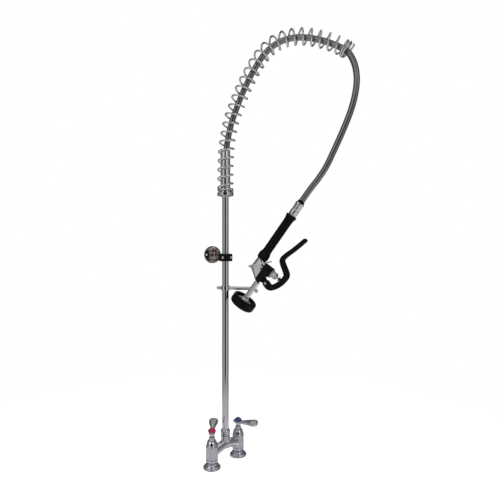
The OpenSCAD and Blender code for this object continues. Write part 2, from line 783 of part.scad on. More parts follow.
// Wire loop round the valve body that can be lifted to hold the trigger in
module hold_ring() {
    far = 58;
    half_w = 17.5;
    bow = [for (a = [90:-15:-90]) [far - half_w + half_w * cos(a), half_w * sin(a), 0]];
    path = concat(
        [[0, 0.05, 0], [0, 6.5, 0], [10, half_w, 0]], bow,
        [[10, -half_w, 0], [0, -6.5, 0], [0, -0.05, 0]]
    );
    color(chrome) grip_frame() translate([ring_pivot[0], 0, ring_pivot[1]]) rotate([0, -48, 0])
        sweep(path, [for (p = path) [0, 0, 1]], wire_r, 12);
}

base_body();
hot() flange();  // hot_flange
cold() flange();  // cold_flange
hot() gasket();  // hot_gasket
cold() gasket();  // cold_gasket
hot() shank();  // hot_shank
cold() shank();  // cold_shank
hot() washer();  // hot_washer
cold() washer();  // cold_washer
hot() lock_nut();  // hot_lock_nut
cold() lock_nut();  // cold_lock_nut
hot() cartridge();  // hot_cartridge
cold() cartridge();  // cold_cartridge
hot() bonnet();  // hot_bonnet
cold() bonnet();  // cold_bonnet
hot() stem();  // hot_stem
cold() stem();  // cold_stem
hot() rotate([0, 0, hot_lever_angle]) lever();  // hot_lever
cold() rotate([0, 0, cold_lever_angle]) lever();  // cold_lever
hot() handle_screw();  // hot_screw
cold() handle_screw();  // cold_screw
hot() index_cap([0.7, 0.12, 0.22]);  // hot_index
cold() index_cap([0.15, 0.25, 0.6]);  // cold_index
riser_collar();
riser_seal();
riser_lock_screw();
riser_pipe();
clamp_front();
clamp_rear();
clamp_screw(1);  // clamp_screw_left
clamp_screw(-1);  // clamp_screw_right
bracket_rod();
rod_nut();
wall_plate();
hook();
hook_screw();
spring_seat();
top_sleeve();
hose_inlet();
overhead_spring();
spray_hose();
hose_seal();
hose_ferrule();
grip_tube();
grip_sleeve();
spray_body();
trigger_yoke();
spray_barrel();
head_shell();
spray_face();
bumper_ring();
face_screw();
valve_seat();
valve_bonnet();
plunger();
plunger_spring();
trigger_lever();
pivot_pin();
hold_ring();
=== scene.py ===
import json
import math
import bmesh
import bpy
from mathutils import Matrix, Vector

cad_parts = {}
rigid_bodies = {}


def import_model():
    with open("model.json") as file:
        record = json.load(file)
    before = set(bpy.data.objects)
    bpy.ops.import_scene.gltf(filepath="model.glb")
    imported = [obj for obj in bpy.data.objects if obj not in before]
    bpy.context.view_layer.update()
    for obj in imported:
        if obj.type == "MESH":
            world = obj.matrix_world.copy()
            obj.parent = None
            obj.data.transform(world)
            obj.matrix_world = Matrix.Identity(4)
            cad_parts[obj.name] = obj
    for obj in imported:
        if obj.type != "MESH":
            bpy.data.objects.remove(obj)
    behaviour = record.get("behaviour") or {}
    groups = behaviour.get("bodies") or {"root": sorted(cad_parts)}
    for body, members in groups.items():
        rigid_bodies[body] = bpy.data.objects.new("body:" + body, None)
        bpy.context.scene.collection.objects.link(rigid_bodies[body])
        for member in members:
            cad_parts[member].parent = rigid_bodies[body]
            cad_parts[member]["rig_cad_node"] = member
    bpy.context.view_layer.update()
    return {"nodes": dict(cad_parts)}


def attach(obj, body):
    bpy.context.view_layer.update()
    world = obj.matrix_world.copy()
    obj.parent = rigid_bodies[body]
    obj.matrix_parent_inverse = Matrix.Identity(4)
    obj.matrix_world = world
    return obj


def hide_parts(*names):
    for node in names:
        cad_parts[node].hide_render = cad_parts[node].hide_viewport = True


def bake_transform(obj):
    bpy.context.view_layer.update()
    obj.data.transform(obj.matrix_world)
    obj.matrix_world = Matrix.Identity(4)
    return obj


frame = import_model()

MM = 0.001
TAU = 2 * math.pi


def turn(degrees, axis):
    return Matrix.Rotation(math.radians(degrees), 4, axis)


def shift(x, y, z):
    return Matrix.Translation((x, y, z))


# ---------------------------------------------------------------- sizes in millimetres, as in the CAD model

CENTRES = 101.6
HOT_ANGLE = 40
COLD_ANGLE = -90
INDEX_SIDES = 8
RISER_R = 8.55
RISER_BORE = 6.3
RISER_FOOT = 54.1
RISER_TOP = 708
SLEEVE_TOP = 823
BRACKET_Z = 540
BRACKET_REACH = 128
ROD_LIFT = 5
PLATE_HOLE_Y = 18
NUT_R = 8.0
CLAMP_Y = 11.6
HOOK_Z = 459
SPRING_WIRE = 5
COIL_R = 19.2
SPRING_START_Z = 715
SPRING_END = 18
OPEN_COILS = 25
CLOSED_LOW = 1.5
CLOSED_HIGH = 2
LOW_GAP = 0.3
HIGH_GAP = 1.4
SPRING_LIFT = 2.5
LIFT_START = 105
LIFT_RUN = 100
SPRING_LEAN = 8
LEAN_START = 160
LEAN_RUN = 240
LEAN_END = 2
UPRIGHT_START = 400
UPRIGHT_RUN = 220
COIL_STEPS = 48
HOSE_R = 7.8
HOSE_STEP = 1.1
STRANDS = 8
STRAND_PITCH = 36
STRAND_RISE = 0.45
WEAVE_ROW = 3
ROUTE_STEPS = 8
GRIP_LENGTH = 122
FERRULE_Z = 125
FERRULE_H = 38
BARREL_OFFSET = 25.5
BUMPER_R = 33.5
PLUNGER_Z = -26
BONNET_X = 60
PLUNGER_TIP = 68.5
RETURN_SPRING_X = 9.5
RETURN_TURNS = 6
RETURN_PITCH = 3.1
RETURN_R = 3.9
RETURN_WIRE_R = 0.6
PIVOT = (46.7, -55)
RING_PIVOT = (-14.5, -46)
RING_TILT = -48
FLOOR_R = 950
FLOOR_SIDES = 128

ROOM = Matrix()
ARCH = turn(-70, "Z")
GRIP = ARCH @ shift(108.5, 0, 546.8) @ turn(36, "Y")
BARREL = GRIP @ shift(BARREL_OFFSET, 0, 0)
PLUNGER = GRIP @ shift(0, 0, PLUNGER_Z) @ turn(90, "Y")
HOT = shift(-CENTRES / 2, 0, 0)
COLD = shift(CENTRES / 2, 0, 0)
BRACKET = shift(0, 0, BRACKET_Z + ROD_LIFT) @ turn(60, "Z") @ turn(90, "Y")

# Centreline of the hose, out from the riser and up from the deck, from its inlet to the ferrule
HOSE_ROUTE = [
    (0, 732), (0, 762), (1, 795), (3, 828), (9, 862), (18, 896), (31, 930), (46, 965), (63, 998),
    (83, 1031), (105, 1060), (129, 1080), (155, 1091), (184, 1095), (213, 1092), (242, 1084),
    (272, 1072), (300, 1057), (321, 1042), (334, 1020), (341, 996), (343, 968), (339, 936),
    (330, 902), (317, 868), (302, 834), (286, 800), (269, 766), (250, 738), (229, 712), (208, 684)
]


# ---------------------------------------------------------------- curves

def between(a, b, c, d, t):
    """The point at the share t from b to c, on the Catmull-Rom curve through all four."""
    return 0.5 * (2 * b + (c - a) * t + (2 * a - 5 * b + 4 * c - d) * t ** 2
                  + (3 * b - a - 3 * c + d) * t ** 3)


def spline(points, steps):
    """Points along a Catmull-Rom curve through the given ones."""
    points = [Vector(p) for p in points]
    ends = [points[0]] + points + [points[-1]]
    out = []
    for i in range(len(points) - 1):
        out += [between(*ends[i:i + 4], k / steps) for k in range(steps)]
    return out + [points[-1]]


def tangents(path):
    last = len(path) - 1
    return [(path[min(i + 1, last)] - path[max(i - 1, 0)]).normalized() for i in range(last + 1)]


def distances(path):
    out = [0.0]
    for a, b in zip(path, path[1:]):
        out.append(out[-1] + (b - a).length)
    return out


class Line:
    """A curve that can be asked for its point and direction at a distance along it."""

    def __init__(self, points):
        self.points = points
        self.along = distances(points)
        self.length = self.along[-1]

    def at(self, d):
        d = min(max(d, 0), self.length)
        low, high = 0, len(self.along) - 1
        while high - low > 1:
            middle = (low + high) // 2
            low, high = (middle, high) if self.along[middle] <= d else (low, middle)
        share = (d - self.along[low]) / (self.along[high] - self.along[low])
        return self.points[low].lerp(self.points[high], share)

    def direction(self, d, reach=2.0):
        return (self.at(d + reach) - self.at(d - reach)).normalized()


def soften(profile, radius, closed=False, steps=4):
    """The profile with its corners rounded."""
    points = [Vector(p) for p in profile]
    corners = range(len(points)) if closed else range(1, len(points) - 1)
    out = [] if closed else [points[0]]
    for i in corners:
        corner = points[i]
        back, on = points[i - 1] - corner, points[(i + 1) % len(points)] - corner
        reach = min(radius, 0.45 * back.length, 0.45 * on.length)
        start, end = corner + reach * back.normalized(), corner + reach * on.normalized()
        for k in range(steps + 1):
            t = k / steps
            out.append((1 - t) ** 2 * start + 2 * t * (1 - t) * corner + t * t * end)
    return out if closed else out + [points[-1]]


# ---------------------------------------------------------------- meshes

def new_piece(name, points, faces, at=ROOM, sharp=40):
    """An object from points in millimetres, set in place by the frame at."""
    mesh = bpy.data.meshes.new(name)
    mesh.from_pydata([MM * (at @ Vector(p)) for p in points], [], faces)
    shell = bmesh.new()
    shell.from_mesh(mesh)
    bmesh.ops.recalc_face_normals(shell, faces=shell.faces)
    shell.to_mesh(mesh)
    shell.free()
    mesh.shade_smooth()
    mesh.set_sharp_from_angle(angle=math.radians(sharp))
    piece = bpy.data.objects.new(name, mesh)
    bpy.context.scene.collection.objects.link(piece)
    return piece


def skin(rings, closed=False):
    """Faces between rings of point numbers; a ring of one point is a pole."""
    faces = []
    pairs = list(zip(rings, rings[1:])) + ([(rings[-1], rings[0])] if closed else [])
    for low, high in pairs:
        count = max(len(low), len(high))
        for k in range(count):
            j = (k + 1) % count
            corners = [low[k % len(low)], low[j % len(low)], high[j % len(high)], high[k % len(high)]]
            faces.append(list(dict.fromkeys(corners)))
    return faces


def capped(*profile):
    """The profile of a solid that closes on its axis at both ends."""
    return [(0, profile[0][1])] + list(profile) + [(0, profile[-1][1])]


def lathe(name, profile, at=ROOM, sides=96, closed=False, radius=0.6, swell=None, sharp=40):
    """A turned piece from its profile of (radius, height) points, with its corners rounded by the radius.

    swell(angle, radius, height) is added to the profile's radius."""
    points, rings = [], []
    for r, z in (soften(profile, radius, closed) if radius else profile):
        first = len(points)
        if r < 1e-4:
            points.append((0, 0, z))
        else:
            for k in range(sides):
                a = TAU * k / sides
                s = r + (swell(a, r, z) if swell else 0)
                points.append((s * math.cos(a), s * math.sin(a), z))
        rings.append(list(range(first, len(points))))
    return new_piece(name, points, skin(rings, closed), at, sharp)


def hexagon(bore, crest=None):
    """Turns the circles outside the bore into hexagons; those inside the crest's circle lose less."""
    def swell(a, r, z):
        if r < bore:
            return 0.0
        nearest = (a + math.pi / 6) % (math.pi / 3) - math.pi / 6
        dent = r * (math.cos(math.pi / 6) / math.cos(math.pi / 6 - abs(nearest)) - 1)
        return min(0.0, dent + (crest - r) * 0.5) if crest else dent
    return swell


def knurl(count, depth, low, high):
    """Ridges along a round part between two heights."""
    def swell(a, r, z):
        return -depth * (0.5 - 0.5 * math.cos(count * a)) if low <= z <= high else 0.0
    return swell


def tube(name, path, normals, radius, sides=16, at=ROOM, closed=False, relief=None, round_ends=True):
    """A round bar along a path; relief(ring, angle) raises its surface and is kept as an attribute."""
    heading = tangents(path) if not closed else [
        (path[(i + 1) % len(path)] - path[i - 1]).normalized() for i in range(len(path))]
    stations = [(p, t, n, radius, i) for i, (p, t, n) in enumerate(zip(path, heading, normals))]
    if not closed:
        cap = [(math.sin(b), math.cos(b)) for b in (0.3, 0.7, 1.1, 1.4)] if round_ends else [(0.05, 0.9)]
        first, last = stations[0], stations[-1]
        before = [(first[0] - radius * s * first[1], first[1], first[2], radius * c, 0) for s, c in cap]
        after = [(last[0] + radius * s * last[1], last[1], last[2], radius * c, last[4]) for s, c in cap]
        stations = before[::-1] + stations + after
    points, heights, rings = [], [], []
    for p, t, n, r, i in stations:
        across = t.cross(n)
        first = len(points)
        for k in range(sides):
            a = TAU * k / sides
            h = relief(i, a) if relief else 0.0
            points.append(p + (r + h) * (math.cos(a) * n + math.sin(a) * across))
            heights.append(h)
        rings.append(list(range(first, len(points))))
    if not closed:
        for station, way in ((stations[0], -1), (stations[-1], 1)):
            points.append(station[0] + way * 0.02 * radius * station[1])
            heights.append(0.0)
        rings = [[len(points) - 2]] + rings + [[len(points) - 1]]
    piece = new_piece(name, points, skin(rings, closed), at, 60)
    if relief:
        attribute = piece.data.attributes.new("relief", "FLOAT", "POINT")
        attribute.data.foreach_set("value", heights)
    return piece


def loft(name, sections, at=ROOM, sides=40, steps=5):
    """A bar along X from sections of (x, height, half width, half thickness, squareness)."""
    points, rings = [], []
    for x, z, wide, thick, square in smooth_rows(sections, steps):
        first = len(points)
        if wide < 0.05:
            points.append((x, 0, z))
        else:
            for k in range(sides):
                c, s = math.cos(TAU * k / sides), math.sin(TAU * k / sides)
                power = 2 / square
                points.append((x, wide * math.copysign(abs(c) ** power, c),
                               z + thick * math.copysign(abs(s) ** power, s)))
        rings.append(list(range(first, len(points))))
    return new_piece(name, points, skin(rings), at, 60)


def smooth_rows(rows, steps):
    """A loft's sections with more between them, on a smooth curve; no width or thickness goes below 0."""
    ends = [rows[0]] + list(rows) + [rows[-1]]
    out = []
    for i in range(len(rows) - 1):
        for k in range(steps):
            x, z, *sizes = [between(*column, k / steps) for column in zip(*ends[i:i + 4])]
            out.append([x, z] + [max(0.0, size) for size in sizes])
    return out + [list(rows[-1])]


def at_metres(at):
    """The frame at, for points that are in metres already."""
    moved = at.copy()
    moved.translation = at.translation * MM
    return moved


def settled(piece):
    """The piece's mesh with its modifiers applied."""
    view = bpy.context.evaluated_depsgraph_get()
    mesh = bpy.data.meshes.new_from_object(piece.evaluated_get(view), depsgraph=view)
    piece.modifiers.clear()
    piece.data = mesh
    return piece


def cast(name, sources, voxel=0.5, rounds=10):
    """One skin over some overlapping solids, with its edges and inner corners rounded."""
    shell = bmesh.new()
    for source in sources:
        shell.from_mesh(source.data)
    bmesh.ops.remove_doubles(shell, verts=shell.verts, dist=1e-6)
    mesh = bpy.data.meshes.new(name)
    shell.to_mesh(mesh)
    shell.free()
    piece = bpy.data.objects.new(name, mesh)
    bpy.context.scene.collection.objects.link(piece)
    remesh = piece.modifiers.new("skin", "REMESH")
    remesh.mode = "VOXEL"
    remesh.voxel_size = voxel * MM
    remesh.use_smooth_shade = True
    smooth = piece.modifiers.new("edges", "SMOOTH")
    smooth.factor = 0.5
    smooth.iterations = rounds
    for source in sources:
        if "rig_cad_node" not in source:
            bpy.data.objects.remove(source)
    return settled(piece)


def bevelled(piece, width=0.4):
    """The piece with its sharp edges rounded."""
    bevel = piece.modifiers.new("edges", "BEVEL")
    bevel.width = width * MM
    bevel.segments = 3
    bevel.limit_method = "ANGLE"
    bevel.angle_limit = math.radians(35)
    return settled(piece)


def cut(piece, *tools):
    """The piece with the tools' volumes taken out of it."""
    for tool in tools:
        hole = piece.modifiers.new("hole", "BOOLEAN")
        hole.object = tool
        hole.solver = "EXACT"
    settled(piece)
    for tool in tools:
        bpy.data.objects.remove(tool)
    return piece


# ---------------------------------------------------------------- camera

camera_data = bpy.data.cameras.new("camera")
camera_data.lens = 35
camera_data.sensor_width = 36
camera_data.shift_y = -0.01
camera = bpy.data.objects.new("camera", camera_data)
bpy.context.scene.collection.objects.link(camera)
camera.location = (-0.945, -0.878, 0.573)
camera.rotation_euler = (math.radians(90), 0, math.radians(-50))
bpy.context.scene.camera = camera


# ---------------------------------------------------------------- materials

def new_material(name):
    material = bpy.data.materials.new(name)
    material.use_nodes = True
    return material, material.node_tree, material.node_tree.nodes["Principled BSDF"]


def node(tree, kind, **values):
    made = tree.nodes.new(kind)
    for key, value in values.items():
        if key in made.inputs:
            made.inputs[key].default_value = value
        else:
            setattr(made, key, value)
    return made


def noise(tree, scale, detail=3.0, stretch=(1, 1, 1)):
    """Noise with its features one over the scale across, in metres."""
    place = node(tree, "ShaderNodeTexCoord")
    mapping = node(tree, "ShaderNodeMapping")
    mapping.inputs["Scale"].default_value = stretch
    texture = node(tree, "ShaderNodeTexNoise", Scale=scale, Detail=detail)
    tree.links.new(place.outputs["Object"], mapping.inputs["Vector"])
    tree.links.new(mapping.outputs["Vector"], texture.inputs["Vector"])
    return texture.outputs["Fac"]


def spread(tree, source, low, high, start=0.3, end=0.7):
    """The source's values from start to end, spread from low to high."""
    made = node(tree, "ShaderNodeMapRange")
    tree.links.new(source, made.inputs["Value"])
    for key, value in (("From Min", start), ("From Max", end), ("To Min", low), ("To Max", high)):
        made.inputs[key].default_value = value
    return made.outputs["Result"]


def blended(tree, source, first, second, start=0.3, end=0.7):
    """The first colour turning to the second as the source goes from start to end."""
    ramp = node(tree, "ShaderNodeValToRGB")
    ramp.color_ramp.elements[0].position = start
    ramp.color_ramp.elements[0].color = (*first, 1)
    ramp.color_ramp.elements[1].position = end
    ramp.color_ramp.elements[1].color = (*second, 1)
    tree.links.new(source, ramp.inputs["Fac"])
    return ramp.outputs["Color"]


def surface(name, colour, worn, metallic, smooth, rough, grain, bump, stretch=(1, 1, 1), coat=0.0, shine=0.5):
    """A material between two colours and two roughnesses; grain is the size of its relief in metres."""
    material, tree, shader = new_material(name)
    shader.inputs["Metallic"].default_value = metallic
    shader.inputs["Specular IOR Level"].default_value = shine
    shader.inputs["Coat Weight"].default_value = coat
    shader.inputs["Coat Roughness"].default_value = 0.15
    cloud = noise(tree, 40.0, 4.0)
    fine = noise(tree, 1 / grain, 2.0, stretch)
    tree.links.new(blended(tree, cloud, colour, worn), shader.inputs["Base Color"])
    tree.links.new(spread(tree, cloud, smooth, rough), shader.inputs["Roughness"])
    relief = node(tree, "ShaderNodeBump", Strength=bump, Distance=grain * 0.2)
    tree.links.new(fine, relief.inputs["Height"])
    tree.links.new(relief.outputs["Normal"], shader.inputs["Normal"])
    return material


def braid_material():
    """Braided steel: grey strands with painted shade darkening the crevices between them, from the relief of
    the mesh.
    """
    material, tree, shader = new_material("steel_braid")
    shader.inputs["Metallic"].default_value = 0.9
    height = node(tree, "ShaderNodeAttribute")
    height.attribute_name = "relief"
    raised = spread(tree, height.outputs["Fac"], 0.0, 1.0, -STRAND_RISE, 0.0)
    cloud = noise(tree, 900.0, 2.0)
    uneven = node(tree, "ShaderNodeMath", operation="MULTIPLY")
    tree.links.new(raised, uneven.inputs[0])
    tree.links.new(spread(tree, cloud, 0.75, 1.0), uneven.inputs[1])
    # Grey on the raised strands, near black in the crevices: painted shade where the weave is low
    strand_colour_with_painted_shade = blended(tree, uneven.outputs["Value"], (0.015, 0.014, 0.013), (0.33, 0.32, 0.30), 0.05, 0.9)
    tree.links.new(strand_colour_with_painted_shade, shader.inputs["Base Color"])
    tree.links.new(spread(tree, raised, 0.45, 0.16, 0, 1), shader.inputs["Roughness"])
    relief = node(tree, "ShaderNodeBump", Strength=0.3, Distance=0.0002)
    tree.links.new(cloud, relief.inputs["Height"])
    tree.links.new(relief.outputs["Normal"], shader.inputs["Normal"])
    return material


def plate_material():
    """Chrome with patches of warm bronze tarnish."""
    material, tree, shader = new_material("warm_chrome")
    shader.inputs["Metallic"].default_value = 1.0
    cloud = noise(tree, 60.0, 3.0, (1, 1, 2.5))
    patches = blended(tree, cloud, (0.16, 0.07, 0.025), (0.3, 0.29, 0.28), 0.42, 0.5)
    tree.links.new(patches, shader.inputs["Base Color"])
    tree.links.new(spread(tree, cloud, 0.12, 0.22), shader.inputs["Roughness"])
    return material


CHROME = surface("chrome", (0.70, 0.70, 0.715), (0.62, 0.62, 0.64), 1.0, 0.04, 0.07, 0.02, 0.0)
BASE_CHROME = surface("base_chrome", (0.72, 0.72, 0.78), (0.6, 0.6, 0.67), 1.0, 0.05, 0.12, 0.006, 0.01)
WIRE_CHROME = surface("spring_steel", (0.74, 0.74, 0.745), (0.6, 0.6, 0.61), 1.0, 0.06, 0.12, 0.01, 0.0)
SATIN = surface("satin_chrome", (0.74, 0.73, 0.74), (0.6, 0.6, 0.61), 1.0, 0.28, 0.4, 0.0006, 0.15, (1, 1, 6))
STEEL = surface("stainless", (0.56, 0.55, 0.54), (0.44, 0.43, 0.42), 1.0, 0.2, 0.34, 0.0005, 0.12)
BRASS = surface("brass", (0.72, 0.53, 0.25), (0.55, 0.38, 0.17), 1.0, 0.22, 0.38, 0.0008, 0.1)
RUBBER = surface("black_rubber", (0.003, 0.003, 0.003), (0.006, 0.006, 0.006), 0.0, 0.4, 0.55, 0.0008, 0.35,
                 shine=0.1)
PLASTIC = surface("black_plastic", (0.003, 0.003, 0.003), (0.005, 0.005, 0.005), 0.0, 0.22, 0.34, 0.0012,
                  0.12, shine=0.12)
RED = surface("hot_red", (0.42, 0.008, 0.06), (0.55, 0.03, 0.1), 0.0, 0.2, 0.32, 0.002, 0.08, coat=0.5)
BLUE = surface("cold_blue", (0.03, 0.06, 0.22), (0.05, 0.1, 0.32), 0.0, 0.2, 0.32, 0.002, 0.08, coat=0.5)
# Steel darkened as painted shade, for the valve stems seen in the gap between each lever's hub and its bonnet
PAINTED_SHADE_STEEL = surface("painted_shade_steel", (0.10, 0.10, 0.10), (0.06, 0.06, 0.06), 1.0, 0.25, 0.4, 0.0006, 0.1)
BRAID = braid_material()
PLATE = plate_material()


def shown(piece, body, material, slot, *replaced):
    """Gives a piece its material and its body, and hides the CAD nodes that it stands for; the slot is not
    used.
    """
    piece.data.materials.clear()
    piece.data.materials.append(material)
    if body:
        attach(piece, body)
    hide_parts(*replaced)
    return piece


# ---------------------------------------------------------------- hose and spring

def eased(share):
    """A share from 0 to 1 that starts and ends gently."""
    share = min(1, max(0, share))
    return share * share * (3 - 2 * share)


def hose_piece(route):
    """The braided hose over its whole route, with the weave in its surface."""
    line = Line(spline(route, ROUTE_STEPS))
    count = round(line.length / HOSE_STEP)
    marks = [line.length * i / count for i in range(count + 1)]
    path = [line.at(d) for d in marks]
    normals = [line.direction(d).cross(Vector((0, 1, 0))).normalized() for d in marks]

    def weave(i, a):
        """Two sets of strands that cross, each over and under the other in turn."""
        along = marks[i] / STRAND_PITCH * TAU
        over, under = STRANDS * (a + along) / 2, STRANDS * (a - along) / 2
        checker = 0.5 + 0.5 * math.cos(over) * math.cos(under) if (i // WEAVE_ROW) % 2 else 0.5
        ridge = max(abs(math.cos(over)) * (0.7 + 0.3 * checker), abs(math.cos(under)) * (1.0 - 0.3 * checker))
        return STRAND_RISE * (ridge ** 0.7 - 1)

    hose = tube("braided_hose", path, normals, HOSE_R, 48, ARCH, relief=weave, round_ends=False)
    shown(hose, None, BRAID, "steel_braid", "spray_hose")
    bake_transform(hose)


def spring_piece(route):
    """The spring round the route's first part: closed coils at its ends, open and leaning ones between."""
    low = Vector((0, 0, SPRING_START_Z))
    line = Line(spline([low] + route[:SPRING_END + 2], ROUTE_STEPS)[:ROUTE_STEPS * (SPRING_END + 1) + 1])
    low_pitch, high_pitch = SPRING_WIRE + LOW_GAP, SPRING_WIRE + HIGH_GAP
    pitch = (line.length - CLOSED_LOW * low_pitch - CLOSED_HIGH * high_pitch) / OPEN_COILS
    turns = CLOSED_LOW + OPEN_COILS + CLOSED_HIGH
    wire, outs = [], []
    for i in range(int(turns * COIL_STEPS) + 1):
        t = i / COIL_STEPS
        d = (low_pitch * min(t, CLOSED_LOW) + pitch * max(0, min(t - CLOSED_LOW, OPEN_COILS))
             + high_pitch * max(0, t - CLOSED_LOW - OPEN_COILS))
        heading = line.direction(d)
        out = math.cos(TAU * t) * Vector((heading.z, 0, -heading.x)) + math.sin(TAU * t) * Vector((0, 1, 0))
        away = SPRING_LIFT * eased((d - LIFT_START) / LIFT_RUN)
        lean = ((LEAN_END - SPRING_LEAN) * eased((d - UPRIGHT_START) / UPRIGHT_RUN)
                + SPRING_LEAN * eased((d - LEAN_START) / LEAN_RUN))
        wire.append(line.at(d) + away * Vector((-heading.z, 0, heading.x)) + COIL_R * out
                    - lean * math.sin(TAU * t) * heading)
        outs.append(out)
    spring = tube("coiled_spring", wire, outs, SPRING_WIRE / 2, 16, ARCH)
    shown(spring, None, WIRE_CHROME, "spring_steel", "overhead_spring")
    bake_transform(spring)


hose_route = [Vector((u, 0, z)) for u, z in HOSE_ROUTE]
hose_piece(hose_route)
spring_piece(hose_route)


# ---------------------------------------------------------------- base

def base_casting():
    casting = cast("bridge_casting", [frame["nodes"]["base_body"]], 0.4, 2)
    shown(casting, "root", BASE_CHROME, "base_chrome", "base_body")


def flange(side, at):
    """The bell between a column and the deck."""
    bell = [(10.4, 1.5), (21.8, 1.5), (22.25, 2.2), (22.25, 4.0), (21.4, 5.4), (19.8, 6.2), (19.0, 7.4),
            (17.8, 9.6), (16.0, 11.8), (14.2, 13.0), (12.8, 14), (10.4, 14)]
    shown(lathe(side + "_flange_bell", bell, at, closed=True, radius=0.9),
          "root", BASE_CHROME, "base_chrome", side + "_flange")


def bonnet(side, at):
    """The stepped dome that closes a column over its valve."""
    dome = capped((14.8, 57.05), (14.8, 59.4), (13.8, 60.2), (13.6, 62.4), (12.8, 66.2), (11.2, 70),
                  (9.4, 72.8), (7.6, 74.4), (7.4, 76), (8, 77), (8, 79.4), (7, 80.4), (4.2, 80.4))
    shown(lathe(side + "_bonnet_dome", dome, at, radius=0.8),
          "root", BASE_CHROME, "base_chrome", side + "_bonnet")


def lever(side, at, angle):
    """A paddle that widens towards its end, on a round hub over the stem."""
    bar = loft("bar", [
        (-17, 90, 0.0, 0.0, 2), (-16.6, 90, 2.2, 2.2, 2), (-14.8, 90, 4.2, 4.2, 2), (-12, 90, 5.0, 5.0, 2),
        (-8, 89.8, 4.6, 4.2, 2.2), (-4, 89.4, 4.4, 2.8, 2.4), (4, 89.8, 4.6, 2.9, 2.6),
        (9, 91.2, 4.9, 4.4, 2.8), (18, 93.4, 5.2, 5.1, 3), (28, 95.4, 6.6, 5.9, 3), (38, 97.2, 8.8, 6.7, 3),
        (47, 98.7, 11.2, 7.5, 3), (54, 99.5, 12.4, 8.0, 3), (60, 99.5, 11.2, 7.9, 2.8),
        (64, 99.5, 7.6, 6.4, 2.4), (65.7, 99.5, 3.4, 3.4, 2), (66, 99.5, 0.0, 0.0, 2)])
    hub = lathe("hub", capped((5.6, 82), (6.2, 83), (9, 90.4), (9, 92)), radius=0.5)
    fused = cast(side + "_paddle_lever", [bar, hub], 0.35, 8)
    fused.data.transform(at_metres(at @ turn(angle, "Z")))
    shown(fused, side + "_handle", SATIN, "satin_chrome", side + "_lever")


def index_cap(side, at, colour, slot):
    """The coloured cap on a lever, with flat sides that slope in to its top and its edges rounded."""
    profile = capped((8.6, 92), (11, 95.4), (11, 96), (4, 103))
    cap = lathe(side + "_index_cap", profile, at @ turn(180 / INDEX_SIDES, "Z"), INDEX_SIDES, radius=0,
                sharp=10)
    shown(bevelled(cap, 0.35), side + "_handle", colour, slot, side + "_index")


def riser_collar():
    nut = capped((8.7, 72), (12.2, 72.05), (12.4, 73), (12.4, 76.4), (11.9, 77), (12.4, 77.6), (12.4, 82.6),
                 (11.2, 85.2), (10.6, 86), (8.7, 86))
    shown(lathe("riser_collar_nut", nut, radius=0.5), "root", BASE_CHROME, "base_chrome", "riser_collar")


def riser_tube():
    pipe = [(RISER_BORE, RISER_FOOT), (RISER_R, RISER_FOOT), (RISER_R, RISER_TOP), (RISER_BORE, RISER_TOP)]
    shown(lathe("riser_tube", pipe, closed=True, sides=128), "root", CHROME, "chrome", "riser_pipe")


base_casting()
for side, at, angle, colour, slot in (("hot", HOT, HOT_ANGLE, RED, "hot_red"),
                                      ("cold", COLD, COLD_ANGLE, BLUE, "cold_blue")):
    flange(side, at)
    bonnet(side, at)
    lever(side, at, angle)
    index_cap(side, at, colour, slot)
riser_collar()
riser_tube()


# ---------------------------------------------------------------- wall bracket

def clamp_block(half):
    block = cast("clamp_block_" + half, [frame["nodes"]["clamp_" + half]], 0.4, 6)
    shown(block, "bracket", PLASTIC, "black_plastic", "clamp_" + half)


def clamp_bolt(side, y):
    at = shift(0, 0, BRACKET_Z) @ turn(60, "Z") @ shift(-12, y, 0) @ turn(90, "Y")
    bolt = capped((1.5, -1.0), (1.7, -2.3), (3.0, -2.4), (3.55, -1.9), (3.6, -0.1), (2, 0), (2, 22))
    shown(lathe("clamp_bolt_" + side, bolt, at, 48, radius=0.3),
          "bracket", STEEL, "stainless", "clamp_screw_" + side)


def wall_plate():
    """The round plate with its two screw holes."""
    dish = capped((24.6, 0), (25, -0.6), (25, -2), (24.4, -3.6), (22.4, -4.8), (18.6, -5.4), (14.6, -6.0),
                  (11.6, -7.2), (9.6, -8.8), (8.6, -10.6), (8.2, -16.4), (7.2, -18), (4.9, -18))
    plate = lathe("wall_plate_dish", dish, BRACKET @ shift(0, 0, BRACKET_REACH), radius=0.8)
    holes = [lathe("hole", capped((2.3, -12), (2.3, 2)), BRACKET @ shift(0, y, BRACKET_REACH), 48)
             for y in (PLATE_HOLE_Y, -PLATE_HOLE_Y)]
    shown(cut(plate, *holes), "bracket", PLATE, "chrome", "wall_plate")


def bracket_bar():
    bar = capped((4.0, 10.1), (4.75, 10.9), (4.75, 121.2), (4.2, 122.05))
    shown(lathe("bracket_bar", bar, BRACKET, 64, radius=0.3), "bracket", CHROME, "chrome", "bracket_rod")


def bar_lock_nut():
    nut = [(4.85, 12.1), (7.4, 12.1), (NUT_R, 12.8), (NUT_R, 17.4), (7.4, 18.1), (4.85, 18.1)]
    shown(lathe("bar_lock_nut", nut, BRACKET, 48, closed=True, radius=0.2, swell=hexagon(6, NUT_R), sharp=25),
          "bracket", CHROME, "chrome", "rod_nut")


clamp_block("front")
clamp_block("rear")
clamp_bolt("left", CLAMP_Y)
clamp_bolt("right", -CLAMP_Y)
wall_plate()
bracket_bar()
bar_lock_nut()


# ---------------------------------------------------------------- hook, spring seat and sleeve

def parking_hook():
    hook = cast("parking_hook", [frame["nodes"]["hook"]], 0.4, 10)
    shown(hook, "root", CHROME, "chrome", "hook")


def hook_thumb_screw():
    at = ARCH @ shift(0, 0, HOOK_Z) @ turn(-90, "Y")
    screw = capped((2.0, 8.65), (2.05, 13), (3.6, 13.05), (4.3, 13.8), (4.3, 16), (4.3, 18.5), (4.3, 21),
                   (4.3, 22.9), (3.6, 23.5))
    shown(lathe("hook_thumb_screw", screw, at, 120, radius=0.3, swell=knurl(20, 0.45, 13.6, 23.0), sharp=60),
          "root", STEEL, "stainless", "hook_screw")


